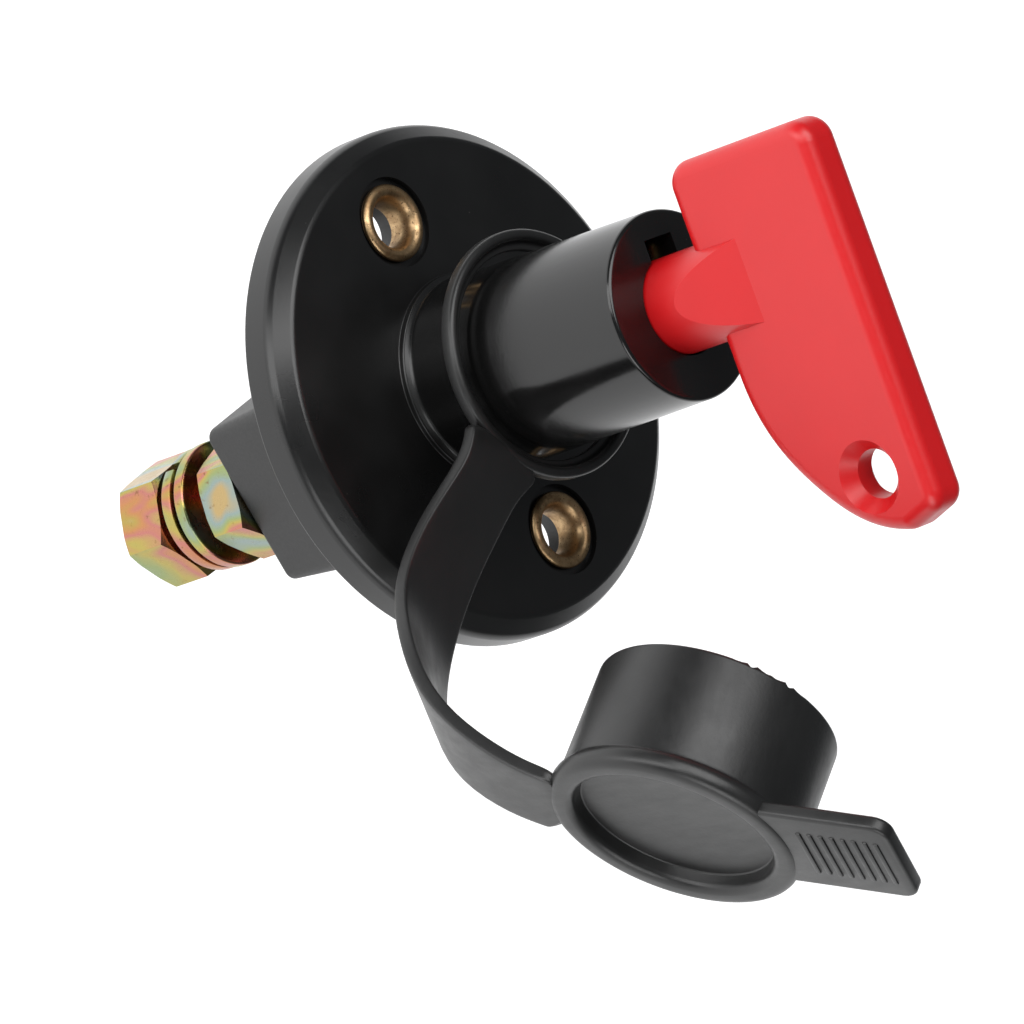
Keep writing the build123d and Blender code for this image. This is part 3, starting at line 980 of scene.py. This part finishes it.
class SWITCH_OT_return_spring(bpy.types.Operator):
    """Wire spring under the carrier"""

    bl_idname = "switch.return_spring"
    bl_label = "Return spring"

    def execute(self, context):
        wire, coil, foot, top, turns, steps = 0.5, 3.0, -16.9, 5.9, 9, 24
        bm = bmesh.new()
        stand = Matrix.Translation((coil, 0, foot + wire)) @ Matrix.Rotation(radians(90), 4, "X")
        bmesh.ops.create_circle(bm, segments=10, radius=wire, cap_ends=True, matrix=stand)
        bmesh.ops.spin(
            bm,
            geom=bm.verts[:] + bm.edges[:] + bm.faces[:],
            cent=(0, 0, 0),
            axis=SWITCH_AXIS,
            angle=tau * turns,
            steps=steps * turns,
            dvec=(0, 0, (top - foot - 2 * wire) / (steps * turns)),
        )
        tidy(bm)
        made = to_object("return_coil", bm)
        dress(made, "drawn_spring_steel", "housing", ["return_spring"])
        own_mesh(made)
        return {"FINISHED"}


class SWITCH_OT_frame_finishes(bpy.types.Operator):
    """Finishes for the pieces that keep their CAD shape"""

    bl_idname = "switch.frame_finishes"
    bl_label = "Finishes of the CAD pieces"

    def execute(self, context):
        kept = {
            "rear_base": "textured_nylon",
            "key_body": "moulded_abs",
            "key_cross_pin": "turned_brass",
            "key_socket": "moulded_acetal",
            "contact_carrier": "moulded_acetal",
            "contact_bridge": "rolled_copper",
            "carrier_clip": "drawn_spring_steel",
            "pressure_spring": "drawn_spring_steel",
        }
        for side in STUD_SPOTS:
            for part in ("base_nut", "flat_washer", "terminal_nut"):
                kept[f"{side}_{part}"] = "chromated_zinc"
        for node, material in kept.items():
            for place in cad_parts[node].material_slots:
                place.material = finish(material)
        return {"FINISHED"}


class SWITCH_OT_stage(bpy.types.Operator):
    """Pale floor, soft studio light and the camera"""

    bl_idname = "switch.stage"
    bl_label = "Studio stage"

    def execute(self, context):
        stage = context.scene.switch_stage
        scene = context.scene
        bm = bmesh.new()
        bmesh.ops.create_grid(bm, x_segments=2, y_segments=2, size=3000.0)
        bmesh.ops.translate(bm, vec=(0, 0, -stage.drop / MM), verts=bm.verts)
        floor = to_object("floor", bm)
        # Opal acrylic lit from behind, as in a product light tent
        material, tree, shader, place = start_material("backlit_acrylic")
        pale = scene.switch_colours.floor
        tone = blend_colours(tree, noise(tree, place, 240.0), pale, linear("#efefef"))
        tree.links.new(tone, shader.inputs["Base Color"])
        shader.inputs["Roughness"].default_value = 0.9
        shader.inputs["Emission Color"].default_value = (1.0, 1.0, 1.0, 1.0)
        shader.inputs["Emission Strength"].default_value = 0.55
        floor.data.materials.append(material)

        world = bpy.data.worlds.new("studio")
        world.use_nodes = True
        scene.world = world
        world.node_tree.nodes["Background"].inputs["Color"].default_value = (0.9, 0.95, 1.0, 1.0)
        world.node_tree.nodes["Background"].inputs["Strength"].default_value = 0.12

        heading = stage.azimuth - radians(90)
        towards = Vector(
            (
                cos(stage.elevation) * cos(heading),
                cos(stage.elevation) * sin(heading),
                sin(stage.elevation),
            )
        )
        target = Vector(stage.target)
        lens = bpy.data.cameras.new("camera")
        lens.lens = stage.lens
        lens.sensor_width = 36.0
        lens.clip_end = 10.0
        camera = bpy.data.objects.new("camera", lens)
        scene.collection.objects.link(camera)
        look = (-towards).to_track_quat("-Z", "Y").to_matrix().to_4x4()
        turn = Matrix.Rotation(stage.roll, 4, "Z")
        camera.matrix_world = Matrix.Translation(target + towards * stage.distance) @ look @ turn
        scene.camera = camera

        # Soft boxes: name, place in millimetres, size in millimetres, power in watts
        boxes = (
            ("overhead", (-450, 250, 900), (800, 800), 8.0),
            ("left_panel", (-950, -150, 300), (500, 900), 5.0),
            ("front_panel", (-100, -950, 420), (900, 500), 4.5),
        )
        for name, spot, (width, depth), power in boxes:
            light = bpy.data.lights.new(name, "AREA")
            light.shape = "RECTANGLE"
            light.size, light.size_y = width * MM, depth * MM
            light.energy = power
            lamp = bpy.data.objects.new(name, light)
            scene.collection.objects.link(lamp)
            spot = Vector(spot) * MM
            aim = (-spot).to_track_quat("-Z", "Y").to_matrix().to_4x4()
            lamp.matrix_world = Matrix.Translation(spot) @ aim
        scene.view_settings.view_transform = "Standard"
        return {"FINISHED"}


class SWITCH_PT_panel(bpy.types.Panel):
    """Sidebar panel with the switch's settings and operators"""

    bl_label = "Battery Isolator Switch"
    bl_space_type = "VIEW_3D"
    bl_region_type = "UI"
    bl_category = "Switch"

    def draw(self, context):
        layout = self.layout
        scene = context.scene
        for group in (scene.switch_sizes, scene.switch_colours, scene.switch_stage):
            box = layout.box()
            for name in group.bl_rna.properties.keys():
                if name not in ("rna_type", "name"):
                    box.prop(group, name)
        for operator in OPERATORS:
            layout.operator(operator.bl_idname)


OPERATORS = (
    SWITCH_OT_front_housing,
    SWITCH_OT_fixing_eyelets,
    SWITCH_OT_studs,
    SWITCH_OT_spring_washers,
    SWITCH_OT_collar,
    SWITCH_OT_strap,
    SWITCH_OT_dust_cap,
    SWITCH_OT_return_spring,
    SWITCH_OT_frame_finishes,
    SWITCH_OT_stage,
)
CLASSES = (SwitchSizes, SwitchColours, SwitchStage, *OPERATORS, SWITCH_PT_panel)


def register():
    for item in CLASSES:
        bpy.utils.register_class(item)
    bpy.types.Scene.switch_sizes = PointerProperty(type=SwitchSizes)
    bpy.types.Scene.switch_colours = PointerProperty(type=SwitchColours)
    bpy.types.Scene.switch_stage = PointerProperty(type=SwitchStage)


def unregister():
    del bpy.types.Scene.switch_stage
    del bpy.types.Scene.switch_colours
    del bpy.types.Scene.switch_sizes
    for item in reversed(CLASSES):
        bpy.utils.unregister_class(item)


def main():
    register()
    for operator in OPERATORS:
        group, name = operator.bl_idname.split(".")
        getattr(getattr(bpy.ops, group), name)()


if __name__ == "__main__":
    main()
